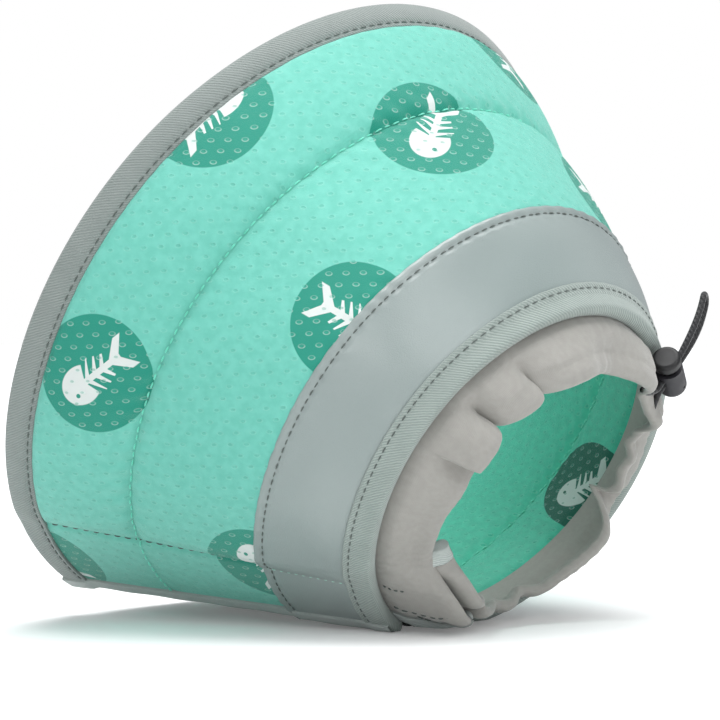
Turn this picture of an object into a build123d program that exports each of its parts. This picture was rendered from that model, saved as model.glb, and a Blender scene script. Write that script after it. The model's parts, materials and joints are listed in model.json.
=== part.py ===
"""Soft padded elizabethan collar, lying on its side.

The wall is a cone of quilted foam between two mesh fabrics. It wraps round the neck as a spiral and
closes where the outer flap lies over the underlap. Two shells make the wall: the front shell carries
the flap, the rear shell carries the underlap and the cord lock, and they meet at the fold line.
A section of the wall is drawn with x along the wall from the neck edge and y outward through it.
"""
from build123d import *
from math import atan2, cos, degrees, radians, sin, sqrt, tan
import os

# Cone, measured on the middle of the wall before it sags
neck_radius = 59.7
half_angle = 25.7
slant_length = 113.0
oval = 10.0                 # arcs of the lying cone: wider by this above and below, tighter at the sides
rest_pitch = 28.6           # the cone's axis above the floor
closing_angle = 24.0        # closing edge, from the cone's lowest line towards the front
fold_angle = 180.0          # fold line, round from the closing edge
lap_angle = 34.0            # crease seam, round from the closing edge

# Plies
foam_edge = 0.8             # foam squeezed under the bindings
fabric = 0.7
tape = 0.6
hook_pile = 1.3
ply_gap = 0.03
running_gap = 0.3           # between the two shells

# Quilting: crowns of the foam on each side of the seam
quilt_at = 74.0
neck_crown = 2.4
neck_crown_inside = 3.2
mouth_crown = 2.2
mouth_crown_inside = 2.6
seam_outside = 1.0
seam_inside = 0.8

# Tapes and bands
binding_width = 7.6
edge_width = 8.0            # tape over a straight end
band_edge = 34.0
hook_width = 20.0
loop_width = 17.0
tape_margin = 1.0

# Gathered cuff and drawcord
cuff_root = 4.5             # where the cuff is sewn inside the wall
cuff_fabric = 0.8
hem_reach = 14.7            # hem cord, past the neck edge along the wall line
hem_depth = 7.9             # hem cord, inward from the wall
cord_diameter = 2.0
cord_clearance = 0.15
casing_wall = 0.6
casing_opening = 10.0       # half the casing's opening, in degrees
casing_relief = 5.0         # the opening's reach round the cord

# Cord lock, across the two strands of the drawcord
lock_angle = 196.0          # round from the closing edge
lock_reach = 7.5            # past the neck edge, along the wall line
lock_lift = 2.1             # outward from the wall's middle
barrel_diameter = 8.8
barrel_wall = 1.1
barrel_lip = 1.4            # above the cord slot
barrel_floor = 1.4
barrel_round = 2.6
strand_pitch = 2.16
slot_clearance = 0.12
stem_foot = 1.1             # below the cord slot
stem_clearance = 0.15
plunger_travel = 2.2
cap_gap = 0.2               # left under the cap when it is pressed
cap_height = 3.0
cap_round = 1.3
spring_wire = 0.35
spring_radius = 2.2
spring_turns = 3
spring_room = 1.2           # pressed solid
mark_diameter = 0.9         # moulding mark on the barrel's side
mark_depth = 0.3
mark_drop = 4.6             # below the cord slot's middle

slope = radians(half_angle)
mouth_start = slant_length - binding_width
cover_face = foam_edge / 2 + fabric + 2 * ply_gap
tape_face = cover_face + tape
pile_face = cover_face + hook_pile
tape_fold = ply_gap + tape
cuff_face = tape_face + ply_gap + cuff_fabric
lap_depth = max(2 * pile_face, tape_face + cuff_face + tape_fold) + running_gap
lap_step = lap_depth / cos(slope) / cos(radians(lap_angle / 2)) ** 2
spiral_shift = lap_step / 2
inner_radius = neck_radius - lap_step
end_fabric = degrees(fabric / neck_radius)
end_ply = degrees(ply_gap / neck_radius)
fold_gap = degrees(running_gap / neck_radius) / 2
fold_front = fold_angle - fold_gap
fold_rear = fold_angle + fold_gap
rear_pad_end = 360 - degrees((tape_fold + running_gap) / inner_radius)
underlap_end = 360 + lap_angle - degrees((tape_fold + running_gap + spiral_shift) / inner_radius)
cuff_bend = lap_step * sin(slope) + tape_fold + cuff_fabric
hem_bore = cord_diameter / 2 + cord_clearance
hem_outer = hem_bore + casing_wall
hem_centre = (-hem_reach, -hem_depth)


def crown(start, end, top):
    """Arc over a stretch of the wall, with its middle at a height."""
    return ThreePointArc(start, ((start[0] + end[0]) / 2, top), end)


def pad_line(edge, first_crown, seam, second_crown):
    """One face of the quilted wall, flat under the bindings and crowned on both sides of the seam."""
    return [
        Line((0, edge), (binding_width, edge)),
        crown((binding_width, edge), (quilt_at, seam), first_crown),
        crown((quilt_at, seam), (mouth_start, edge), second_crown),
        Line((mouth_start, edge), (slant_length, edge)),
    ]


def outer_line(lift):
    """The quilted wall's outer face, lifted off the foam."""
    return pad_line(foam_edge / 2 + lift, neck_crown + lift, seam_outside + lift, mouth_crown + lift)


def inner_line(lift):
    """The quilted wall's inner face, lifted off the foam."""
    inside = [foam_edge / 2, neck_crown_inside, seam_inside, mouth_crown_inside]
    return pad_line(*[-depth - lift for depth in inside])


def ply(lower, upper):
    """Closed section between two faces of the wall."""
    ends = [Line(lower[0] @ 0, upper[0] @ 0), Line(lower[-1] @ 1, upper[-1] @ 1)]
    return make_face(lower + upper + ends)


def stretch(start, end):
    """Section window that keeps one stretch of the wall."""
    return Pos((start + end) / 2, 0) * Rectangle(end - start, slant_length)


def flat_ply(start, end, lower, upper):
    """Section of a flat ply, between two places along the wall and two levels."""
    return Pos((start + end) / 2, (lower + upper) / 2) * Rectangle(end - start, upper - lower)


def folded_tape():
    """Tape folded over the neck edge: a block round the wall's edge less the wall itself."""
    block = flat_ply(-tape_fold, binding_width, -tape_face, tape_face)
    return block - flat_ply(-ply_gap, slant_length, -cover_face, cover_face)


def cuff_outline(grow=0.0):
    """The cuff's section with its casing closed: sewn inside the neck edge, then turned in."""
    half = cuff_fabric / 2 + grow
    bend = Vector(-cuff_bend, cuff_fabric / 2 - cuff_face)
    run = Vector(*hem_centre) - bend
    sewn = flat_ply(-cuff_bend, cuff_root, bend.Y - half, bend.Y + half)
    turned_in = Rot(0, 0, degrees(atan2(run.Y, run.X))) * flat_ply(0, run.length, -half, half)
    knee = Pos(bend.X, bend.Y) * (Circle(half) + turned_in)
    return sewn + knee + Pos(*hem_centre) * Circle(hem_outer + grow)


def heading(angle):
    """Direction out from the axis, at an angle round from the closing edge."""
    return Vector(cos(radians(angle)), sin(radians(angle)), 0)


def arc_chain():
    """Arcs that make the oval spiral: end angle, change of radius and centre. Each runs on into the next."""
    centre = heading(-closing_angle) * (-oval * sqrt(2))
    ends = [45, 135, fold_angle + closing_angle, 225, 315, 405, 495]
    changes = [oval, -oval, oval, oval - spiral_shift, -oval - spiral_shift, oval - spiral_shift]
    changes.append(-oval - spiral_shift)
    chain = [(ends[0] - closing_angle, changes[0], centre)]
    for end, before, change in zip(ends[1:], changes, changes[1:]):
        centre = centre + heading(chain[-1][0]) * (before - change)
        chain.append((end - closing_angle, change, centre))
    return chain


arcs = arc_chain()


def arc_at(angle):
    """The arc that carries the wall at an angle round from the closing edge."""
    return next(arc for arc in arcs if angle <= arc[0])


def carried(section, start, end):
    """A section of the wall carried round between two angles."""
    result = None
    low = start
    for arc_end, change, centre in arcs:
        high = min(end, arc_end)
        if high > low:
            wall = Plane((neck_radius + change, 0, 0), x_dir=(sin(slope), 0, cos(slope)), z_dir=(0, 1, 0))
            sector = Pos(*centre) * Rot(0, 0, low) * revolve(wall * section, Axis.Z, high - low)
            result = sector if result is None else result + sector
            low = high
    return result


def strip(start, end, angle):
    """Straight strip of the wall, with its sides at distances from a shell's end at an angle."""
    reach = 2 * slant_length
    side = Pos(reach / 2, (start + end) / 2, 0) * Box(reach, end - start, 2 * reach)
    return Pos(*arc_at(angle)[2]) * Rot(0, 0, angle) * side


def spot(along, outward, angle, onward=0.0):
    """Point of the wall: along it, outward from its middle, round from the closing edge and straight on."""
    change, centre = arc_at(angle)[1:]
    radius = neck_radius + change + along * sin(slope) + outward * cos(slope)
    height = along * cos(slope) - outward * sin(slope)
    return centre + heading(angle) * radius + heading(angle + 90) * onward + Vector(0, 0, height)


pitch = radians(rest_pitch)
bed = Plane(origin=(0, 0, 0), x_dir=(-sin(pitch), 0, -cos(pitch)), z_dir=(-cos(pitch), 0, sin(pitch)))
laid = bed.location * Rot(0, 0, closing_angle)


def lay_point(point):
    """A point of the upright cone where the lying cone has it."""
    return (laid * Pos(*point)).position


# Sections that both shells use
middle_line = [Line((0, 0), (slant_length, 0))]
outer_fabric_face = outer_line(ply_gap + fabric)
inner_fabric_face = inner_line(ply_gap + fabric)
foam_section = ply(inner_line(0), outer_line(0))
outer_panel_section = ply(outer_line(ply_gap), outer_fabric_face)
lining_section = ply(inner_fabric_face, inner_line(ply_gap))
outer_end_section = ply(middle_line, outer_fabric_face)
lining_end_section = ply(inner_fabric_face, middle_line)
band_window = stretch(binding_width + ply_gap, band_edge)
band_lift = cover_face - foam_edge / 2
band_section = ply(outer_line(band_lift), outer_line(band_lift + tape)) & band_window
neck_tape = folded_tape()
mouth_tape = Pos(slant_length, 0) * Rot(0, 0, 180) * neck_tape
cuff_section = cuff_outline() - Pos(*hem_centre) * Circle(hem_bore)
cord_section = Pos(*hem_centre) * Circle(cord_diameter / 2)
flap_section = flat_ply(0, slant_length, ply_gap - cover_face, cover_face - ply_gap)
end_tape_block = flat_ply(-tape_fold, slant_length + tape_fold, -tape_face, tape_face)
end_tape_core = flat_ply(-ply_gap, slant_length + ply_gap, -cover_face, cover_face)
end_tape_block += cuff_outline(tape_fold)
end_tape_core += cuff_outline(ply_gap)
flap_band_section = flat_ply(binding_width + ply_gap, band_edge, cover_face, tape_face)
pile_ends = (binding_width + tape_margin, mouth_start - tape_margin)

# Front shell: quilted wall, its thin flap, the cuff and the drawcord in its casing
front_wall = lap_angle + end_fabric
flap_tape_end = strip(-slant_length, edge_width + ply_gap, 0)
pieces = {
    "front_foam": carried(foam_section, front_wall + end_ply, fold_front),
    "front_outer_panel": carried(outer_panel_section, lap_angle, fold_front)
    + carried(outer_end_section, lap_angle, front_wall),
    "front_lining": carried(lining_section, lap_angle, fold_front)
    + carried(lining_end_section, lap_angle, front_wall),
    "front_neck_band": carried(band_section, lap_angle, fold_front),
    "front_neck_binding": carried(neck_tape, 0, fold_front) - flap_tape_end,
    "front_mouth_binding": carried(mouth_tape, 0, fold_front) - flap_tape_end,
    "closure_flap": carried(flap_section, 0, lap_angle),
    "flap_neck_band": carried(flap_band_section, 0, lap_angle) - flap_tape_end,
    "closing_edge_binding": (carried(end_tape_block, -lap_angle, lap_angle) & strip(-tape_fold, edge_width, 0))
    - (carried(end_tape_core, -lap_angle, lap_angle) & strip(-ply_gap, slant_length, 0)),
    "hook_tape": carried(flat_ply(*pile_ends, -pile_face, -cover_face), 0, lap_angle)
    & strip(edge_width + tape_margin, edge_width + tape_margin + hook_width, 0),
    "front_cuff": carried(cuff_section, 0, fold_front),
    "front_drawcord": carried(cord_section, 0, fold_front),
}

# Rear shell: quilted wall, its thin underlap, the cuff with the casing's opening and the drawcord
rear_wall = rear_pad_end - end_fabric
underlap_side = strip(-edge_width - ply_gap, slant_length, underlap_end)
outlet_start = lock_angle - casing_opening
outlet_end = lock_angle + casing_opening
casing_outlet = carried(Pos(*hem_centre) * Circle(casing_relief), outlet_start, outlet_end)
pieces |= {
    "rear_foam": carried(foam_section, fold_rear, rear_wall - end_ply),
    "rear_outer_panel": carried(outer_panel_section, fold_rear, rear_pad_end)
    + carried(outer_end_section, rear_wall, rear_pad_end),
    "rear_lining": carried(lining_section, fold_rear, rear_pad_end)
    + carried(lining_end_section, rear_wall, rear_pad_end),
    "rear_neck_band": carried(band_section, fold_rear, rear_pad_end),
    "rear_neck_binding": carried(neck_tape, fold_rear, underlap_end) - underlap_side,
    "rear_mouth_binding": carried(mouth_tape, fold_rear, underlap_end) - underlap_side,
    "underlap": carried(flap_section, rear_pad_end, underlap_end),
    "underlap_edge_binding": (
        carried(end_tape_block, underlap_end - lap_angle, underlap_end + lap_angle)
        & strip(-edge_width, tape_fold, underlap_end)
    )
    - (
        carried(end_tape_core, underlap_end - lap_angle, underlap_end + lap_angle)
        & strip(-slant_length, ply_gap, underlap_end)
    ),
    "loop_tape": carried(flat_ply(*pile_ends, cover_face, pile_face), 360, underlap_end)
    & strip(tape_margin, tape_margin + loop_width, 360),
    "rear_cuff": carried(cuff_section, fold_rear, underlap_end) - casing_outlet,
    "rear_drawcord_short": carried(cord_section, fold_rear, outlet_start),
    "rear_drawcord_long": carried(cord_section, outlet_end, underlap_end),
}
pieces = {name: laid * shape for name, shape in pieces.items()}

# Cord lock frame: x along the strands, outward, and z along the barrel towards the cap
hem_point = lay_point(spot(*hem_centre, lock_angle))
lock_point = lay_point(spot(-lock_reach, lock_lift, lock_angle))
strand_way = (lock_point - hem_point).normalized()
round_way = lay_point(spot(-lock_reach, lock_lift, lock_angle - 1)) - lock_point
lock = Plane(origin=lock_point, x_dir=strand_way, z_dir=round_way - strand_way * round_way.dot(strand_way))
stack = strand_pitch / 2 + cord_diameter / 2 + slot_clearance
barrel_top = stack + barrel_lip
stem_bottom = -stack - stem_foot
bore_bottom = stem_bottom - plunger_travel - spring_room
barrel_bottom = bore_bottom - barrel_floor
cap_bottom = barrel_top + plunger_travel + cap_gap
bore_radius = barrel_diameter / 2 - barrel_wall
slot_width = cord_diameter + 2 * slot_clearance


def rod(radius, low, high):
    """Round bar along the barrel."""
    return Pos(0, 0, low) * extrude(Circle(radius), high - low)


def cord_slot(top):
    """Way for the two strands through the barrel or the plunger, rounded like the cord."""
    height = top + stack
    outline = Plane.YZ * Pos(0, (top - stack) / 2) * SlotOverall(height, slot_width, rotation=90)
    return extrude(outline, barrel_diameter, both=True)


barrel = rod(barrel_diameter / 2, barrel_bottom, barrel_top)
barrel = fillet(barrel.edges().group_by(Axis.Z)[0], barrel_round)
barrel -= rod(bore_radius, bore_bottom, barrel_top) + cord_slot(stack)
barrel -= Plane.XZ.offset(barrel_diameter / 2 - mark_depth) * Pos(0, -mark_drop) * extrude(
    Circle(mark_diameter / 2), barrel_diameter
)
cap = rod(barrel_diameter / 2, cap_bottom, cap_bottom + cap_height)
cap = fillet(cap.edges().group_by(Axis.Z)[-1], cap_round)
plunger = cap + rod(bore_radius - stem_clearance, stem_bottom, cap_bottom) - cord_slot(stack + plunger_travel)
spring_low = bore_bottom + spring_wire / 2 + ply_gap
spring_high = stem_bottom - spring_wire / 2 - ply_gap
spring_height = spring_high - spring_low
coil = Pos(0, 0, spring_low) * Helix(spring_height / spring_turns, spring_height, spring_radius)
spring = sweep((coil ^ 0) * Circle(spring_wire / 2), path=coil)

# Free loop of the drawcord, from one end of the casing's opening through the lock and back
reach = (lock_point - hem_point).length
half = strand_pitch / 2
straight_on = 1.5 * cord_diameter
strand = [
    (-reach, 0, half),
    (-barrel_diameter * 0.62, 0.1, half),
    (barrel_diameter * 0.62, 0, half),
    (12.6, 0.5, 1.9),
    (19.6, 1.6, 2.4),
    (25.2, 3.2, 2.3),
    (29.4, 4.8, 2.4),
]
away = [lock.from_local_coords(Vector(x, y, z)) for x, y, z in strand]
back = [lock.from_local_coords(Vector(x, y, -z)) for x, y, z in reversed(strand)]
leaving = [lay_point(spot(*hem_centre, outlet_start, onward)) for onward in (0, straight_on)]
arriving = [lay_point(spot(*hem_centre, outlet_end, -onward)) for onward in (straight_on, 0)]
route = [*leaving, *away, *back, *arriving]


def bend_radius(before, corner, after):
    """Largest even bend at a corner of the cord's route."""
    into = corner - before
    out_of = after - corner
    return 0.45 * min(into.length, out_of.length) / tan(radians(into.get_angle(out_of)) / 2)


bends = [bend_radius(*route[n - 1 : n + 2]) for n in range(1, len(route) - 1)]
print("drawcord loop bends, mm:", [round(radius, 1) for radius in bends])
cord_path = FilletPolyline(*route, radius=bends)
loop_start = Plane(origin=cord_path @ 0, z_dir=cord_path % 0)
drawcord_loop = sweep(loop_start * Circle(cord_diameter / 2), path=cord_path)
print("drawcord loop length, mm:", round(cord_path.length, 1))
pieces |= {
    "cord_lock_barrel": lock.location * barrel,
    "cord_lock_plunger": lock.location * plunger,
    "cord_lock_spring": lock.location * spring,
    "drawcord_loop": drawcord_loop,
}

# Stand the collar on the ground with its middle over the origin
boxes = [shape.bounding_box() for name, shape in pieces.items() if name != "drawcord_loop"]
low = [min(tuple(box.min)[axis] for box in boxes) for axis in range(3)]
high = [max(tuple(box.max)[axis] for box in boxes) for axis in range(3)]
stand = Pos(-(low[0] + high[0]) / 2, -(low[1] + high[1]) / 2, -low[2])

# Joint axes: the fold line over the wall's crowns, along the strands, and along the barrel
fold_height = neck_crown + band_lift + tape + running_gap
fold_line = [lay_point(spot(along, fold_height, fold_angle)) for along in (0, slant_length)]
for label, point in (("fold, neck end", fold_line[0]), ("fold, mouth end", fold_line[1]), ("lock", lock.origin)):
    placed = (stand * Pos(*point)).position
    print(f"{label}, mm:", [round(value, 3) for value in placed])
for label, way in (("strands", lock.x_dir), ("barrel", lock.z_dir)):
    print(f"{label}, direction:", [round(value, 6) for value in way])

os.makedirs("parts", exist_ok=True)
for name, shape in pieces.items():
    export_step(stand * shape, f"parts/{name}.step")
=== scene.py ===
"""Looks of a soft quilted elizabethan collar that lies on its side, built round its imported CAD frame."""

import json
from math import atan2, cos, pi, radians, sin, sqrt

import bpy
import numpy as np
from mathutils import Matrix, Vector


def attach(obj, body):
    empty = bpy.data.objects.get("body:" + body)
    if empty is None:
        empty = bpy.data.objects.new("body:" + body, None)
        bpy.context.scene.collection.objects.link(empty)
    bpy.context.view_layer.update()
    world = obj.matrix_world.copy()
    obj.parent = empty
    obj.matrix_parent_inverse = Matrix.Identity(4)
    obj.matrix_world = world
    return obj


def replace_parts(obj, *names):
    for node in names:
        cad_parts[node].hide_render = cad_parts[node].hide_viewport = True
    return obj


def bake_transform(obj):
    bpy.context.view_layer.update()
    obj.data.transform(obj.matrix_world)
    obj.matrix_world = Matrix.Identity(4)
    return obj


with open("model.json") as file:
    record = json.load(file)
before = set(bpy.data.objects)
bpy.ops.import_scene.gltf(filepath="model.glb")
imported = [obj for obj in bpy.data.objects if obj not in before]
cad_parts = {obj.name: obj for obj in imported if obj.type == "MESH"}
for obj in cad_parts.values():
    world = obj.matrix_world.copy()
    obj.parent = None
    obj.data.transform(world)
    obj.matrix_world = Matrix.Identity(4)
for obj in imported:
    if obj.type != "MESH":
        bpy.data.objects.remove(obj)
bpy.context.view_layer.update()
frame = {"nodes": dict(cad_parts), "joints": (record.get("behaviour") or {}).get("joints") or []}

# Outer skin. The collar's wall is two cloths over foam pads, wrapped as an oval spiral cone. Its outer
# cloth is a printed knitted mesh, quilted to the foam along one seam, puckered there and at its bindings,
# and left flat past the crease of the closing flap.
# Lengths are millimetres along the wall from its neck edge, and outward from its middle. Angles are
# degrees round it from its closing edge.
NECK_RADIUS = 59.7
SLANT = 113.0
SLOPE = radians(25.7)
OVAL = 10.0  # change of radius between the oval's long and short sides
LAP_SHIFT = 3.204  # how far the spiral has come in where it laps
PITCH = radians(28.6)  # how far the cone's axis tips up from level
CLOSING = 24.0  # how far round the closing edge is from the line on the floor
FOLD = 180.0
FOLD_HEIGHT = 4.06
REST_CLEARANCE = 0.25
COVER = 1.16  # half of the two cloths where nothing is between them
CREASE = 34.0  # where the closing flap ends
BINDING = 7.6
BAND_EDGE = 34.0
QUILT = 74.0
NECK_FOAM, NECK_PRESS = 3.9, 1.9  # rise of the foam, and how much the floor takes off it
MOUTH_FOAM, MOUTH_PRESS = 2.7, 1.2
SKIN_MARGIN = 3.0
# Height, pitch, seam and width of each row of puckers.
SEAM_PUCKERS = [(0.32, 7.5, QUILT, 6), (0.13, 9.5, SLANT - BINDING, 5), (0.13, 8.0, BAND_EDGE, 5)]

joints = {joint["name"]: joint for joint in frame["joints"]}
fold_pivot = np.array(joints["closure_open"]["pos_m"]) * 1000


def arc_chain():
    """Arcs of the oval spiral, each as its end angle, change of radius and centre."""
    centre = np.array([cos(radians(-CLOSING)), sin(radians(-CLOSING))]) * -OVAL * sqrt(2)
    ends = [45, 135, FOLD + CLOSING, 225, 315, 405, 495]
    wide, narrow = OVAL - LAP_SHIFT, -OVAL - LAP_SHIFT
    changes = [OVAL, -OVAL, OVAL, wide, narrow, wide, narrow]
    chain = [(ends[0] - CLOSING, changes[0], centre)]
    for end, before, change in zip(ends[1:], changes, changes[1:]):
        turn = radians(chain[-1][0])
        centre = centre + np.array([cos(turn), sin(turn)]) * (before - change)
        chain.append((end - CLOSING, change, centre))
    return chain


arc_ends, arc_changes, arc_centres = (np.array(column) for column in zip(*arc_chain()))


def lying(along, outward, angle):
    """Points of the cone as it lies, before it is put in the CAD frame."""
    along, outward, angle = np.broadcast_arrays(along, outward, np.asarray(angle, float))
    which = np.minimum(np.searchsorted(arc_ends, angle), len(arc_ends) - 1)
    radius = NECK_RADIUS + arc_changes[which] + along * sin(SLOPE) + outward * cos(SLOPE)
    height = along * cos(SLOPE) - outward * sin(SLOPE)
    x = arc_centres[which, 0] + radius * np.cos(np.radians(angle))
    y = arc_centres[which, 1] + radius * np.sin(np.radians(angle))
    down = x * cos(radians(CLOSING)) - y * sin(radians(CLOSING))
    near_side = x * sin(radians(CLOSING)) + y * cos(radians(CLOSING))
    back = -down * sin(PITCH) - height * cos(PITCH)
    up = -down * cos(PITCH) + height * sin(PITCH)
    return np.stack([back, -near_side, up], axis=-1)


stand = fold_pivot - lying(0.0, FOLD_HEIGHT, FOLD)


def place(along, outward, angle):
    """Points of the wall in the CAD frame, kept off the floor."""
    points = lying(along, outward, angle) + stand
    points[..., 2] = np.maximum(points[..., 2], REST_CLEARANCE)
    return points


def arc_length(angle, along):
    """Distance round the wall, near enough for cloth patterns."""
    return np.radians(angle) * (NECK_RADIUS + along * sin(SLOPE))


def near(value, centre, width):
    """1 at the centre, falling smoothly to 0 on both sides."""
    return np.exp(-(((value - centre) / width) ** 2))


def near_angle(angle, centre, width):
    """The same, round the wall."""
    return near(np.mod(angle - centre + 180, 360) - 180, 0, width)


def low(angle):
    """1 where the wall lies on the floor, falling to 0 round its sides."""
    return near_angle(angle, -CLOSING, 42)


def step(value, start, end):
    """Smooth rise from 0 to 1."""
    t = np.clip((value - start) / (end - start), 0, 1)
    return t * t * (3 - 2 * t)


def crease_at(along):
    """Angle of the crease that closes off the flap's flat cloth, which leans a little toward the mouth."""
    return 23.8 - 2.6 * np.clip(along / SLANT, 0, 1)


def past_crease(along, angle):
    """Distance round from the crease."""
    return arc_length(angle - crease_at(along), along)


def stuffed(along, angle):
    """0 on the flat flap and 1 where there is foam."""
    return step(past_crease(along, angle), 0.0, 10.0) ** 0.6


def pad(along, start, end):
    """Round rise of a stuffed channel between two seams, 0 at each seam and 1 in the middle."""
    t = np.clip((along - start) / (end - start), 0, 1)
    return np.sin(pi * t) ** 0.62


def neck_pad(along, angle):
    """Rise of the foam pad between the neck and the quilting seam."""
    return (NECK_FOAM - NECK_PRESS * low(angle)) * pad(along, BINDING - 3, QUILT)


def ripple(angle, along, pitch):
    """Uneven puckers along a seam."""
    run = arc_length(angle, along)
    return np.sin(2 * pi * run / pitch + 1.3 * np.sin(run / 13.7) + 0.8 * np.sin(run / 5.9 + 2))


def outer_level(along, angle):
    """The outer cloth's height off the wall's middle."""
    mouth_pad = (MOUTH_FOAM - MOUTH_PRESS * low(angle)) * pad(along, QUILT, SLANT - BINDING + 2)
    at_quilt = near(along, QUILT, 1.5)
    pucker = sum(size * ripple(angle, along, pitch) * near(along, seam, width)
                 for size, pitch, seam, width in SEAM_PUCKERS)
    dents = 0.35 * np.sin(along / 9 + angle / 13) * np.sin(angle / 9.5 + 1.1)
    dents = dents * pad(along, BINDING, SLANT - BINDING)
    full = neck_pad(along, angle) + mouth_pad + 1.1 * (1 - at_quilt) + pucker + dents
    flat = 0.12 * pucker - 0.3 * at_quilt
    share = stuffed(along, angle)
    crease_dip = 0.8 * near(past_crease(along, angle), 0, 1.2)
    return COVER + share * full + (1 - share) * flat - crease_dip


def surface(name, points, maps, material, wrap=False):
    """Mesh through rings of points, given in millimetres. Its maps are in millimetres of the pattern."""
    index = np.arange(points[..., 0].size).reshape(points.shape[:-1])
    if wrap:
        index = np.concatenate([index, index[:1]])
    faces = [index[:-1, :-1], index[:-1, 1:], index[1:, 1:], index[1:, :-1]]
    faces = np.stack(faces, axis=-1).reshape(-1, 4)
    mesh = bpy.data.meshes.new(name)
    mesh.from_pydata(points.reshape(-1, 3) / 1000, [], faces.tolist())
    for label, values in maps.items():
        corners = values.reshape(-1, 2)[faces.reshape(-1)]
        mesh.uv_layers.new(name=label).data.foreach_set("uv", corners.astype(np.float32).ravel())
    mesh.polygons.foreach_set("use_smooth", np.ones(len(mesh.polygons), bool))
    mesh.materials.append(material)
    made = bpy.data.objects.new(name, mesh)
    bpy.context.collection.objects.link(made)
    return made


def cloth_map(along, angle):
    """Flat cloth under each point, as the cone unrolls."""
    reach = NECK_RADIUS / sin(SLOPE) + along
    turn = np.radians(angle) * sin(SLOPE)
    return np.stack([reach * np.cos(turn), reach * np.sin(turn)], axis=-1)


def node(tree, kind, inputs=(), out=0, **settings):
    """Adds a node with its settings and its inputs, given in order or by name, and gives one output."""
    made = tree.nodes.new("ShaderNode" + kind)
    for key, value in settings.items():
        setattr(made, key, value)
    named = inputs if isinstance(inputs, dict) else dict(enumerate(inputs))
    for slot, value in named.items():
        if isinstance(value, bpy.types.NodeSocket):
            tree.links.new(value, made.inputs[slot])
        else:
            made.inputs[slot].default_value = value
    return made.outputs[out] if made.outputs else None


def hue(code):
    """Linear colour of an sRGB hex code."""
    parts = [int(code[n : n + 2], 16) / 255 for n in (0, 2, 4)]
    return (*[part / 12.92 if part <= 0.04045 else ((part + 0.055) / 1.055) ** 2.4 for part in parts], 1.0)


def new_material(name):
    """Empty material and its tree."""
    made = bpy.data.materials.new(name)
    made.use_nodes = True
    made.node_tree.nodes.clear()
    return made, made.node_tree


def finish(tree, **looks):
    """Ends a material with its surface. An input's name has _ for a space."""
    inputs = {key.replace("_", " "): value for key, value in looks.items()}
    node(tree, "OutputMaterial", {"Surface": node(tree, "BsdfPrincipled", inputs)})


def between(tree, *edges):
    """Share inside soft edges, each a value with where it has fallen to 0 and where it is 1."""
    share = 1.0
    for value, nothing, full in edges:
        edge = node(tree, "MapRange", (value, nothing, full), interpolation_type="SMOOTHSTEP")
        share = node(tree, "Math", (share, edge), operation="MULTIPLY")
    return share


def coated(tree, base, *coats):
    """Base colour under coats, each a share, a strength and a colour."""
    for share, strength, colour in coats:
        factor = node(tree, "Math", (share, strength), operation="MULTIPLY")
        base = node(tree, "Mix", {0: factor, 6: base, 7: colour}, out=2, data_type="RGBA")
    return base


def raised(tree, *parts):
    """Normal over raised detail, each part a pattern and its height in millimetres."""
    height = 0.0
    for pattern, tall in parts:
        height = node(tree, "Math", (pattern, tall, height), operation="MULTIPLY_ADD")
    return node(tree, "Bump", {"Height": height, "Distance": 0.001})


def oval(tree, x, y, middle, half):
    """Distance from the middle of an oval, where 1 is its edge."""
    across = node(tree, "Math", (x, 1 / half[0], -middle[0] / half[0]), operation="MULTIPLY_ADD")
    upward = node(tree, "Math", (y, 1 / half[1], -middle[1] / half[1]), operation="MULTIPLY_ADD")
    return node(tree, "VectorMath", (node(tree, "CombineXYZ", (across, upward)),), out=1, operation="LENGTH")


def fish_bones(tree, x, y):
    """Share of white in a fish's bones that lie along x, its head toward the lower end."""
    # Each part is bounded by soft edges, in millimetres from the middle of its spot.
    side = node(tree, "Math", (y,), operation="ABSOLUTE")
    gill = node(tree, "Math", (side, -0.42, x), operation="MULTIPLY_ADD")
    skull = oval(tree, x, y, (-5.8, 0), (7.4, 6.3))
    eye = oval(tree, x, y, (-9.0, 2.2), (1, 1))
    head = between(tree, (skull, 1.03, 0.97), (gill, -4.0, -4.3), (eye, 0.65, 0.85))
    spine = between(tree, (side, 1.15, 0.95), (x, 11.3, 11.0), (x, -6.5, -6.2))
    swept = node(tree, "Math", (side, -0.62, x), operation="MULTIPLY_ADD")
    spaced = node(tree, "Math", (node(tree, "Math", (swept, 2.9)), 1.6), operation="PINGPONG")
    tapered = node(tree, "Math", (side, 0.13, spaced), operation="MULTIPLY_ADD")
    narrowing = node(tree, "Math", (x, 0.36, side), operation="MULTIPLY_ADD")
    ends = [(narrowing, 6.5, 6.2), (swept, -3.9, -3.7), (swept, 5.9, 5.7)]
    ribs = between(tree, (tapered, 1.1, 0.9), *ends)
    fanned = node(tree, "Math", (x, -0.95, side), operation="MULTIPLY_ADD")
    notch = node(tree, "Math", (side, -0.8, x), operation="MULTIPLY_ADD")
    tail = between(tree, (fanned, -5.75, -6.05), (x, 7.0, 7.2), (notch, 10.8, 10.5), (side, 6.0, 5.6))
    bones = head
    for part in (spine, ribs, tail):
        bones = node(tree, "Math", (bones, part), operation="MAXIMUM")
    return bones


WAVE = 2 * pi / 20  # a wave texture's bands are this far apart at scale 1
KNIT_ROW = 0.2856
FUZZ = 0.3846
DYE_CLOUD = 2.857
EYELET_PITCH = (5.0, 3.5)
EYELET_HALF = (0.95, 0.62)
EYELET_TURN = radians(2)
SPOT = 18.0
FISH_SHRINK = 1.08


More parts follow.
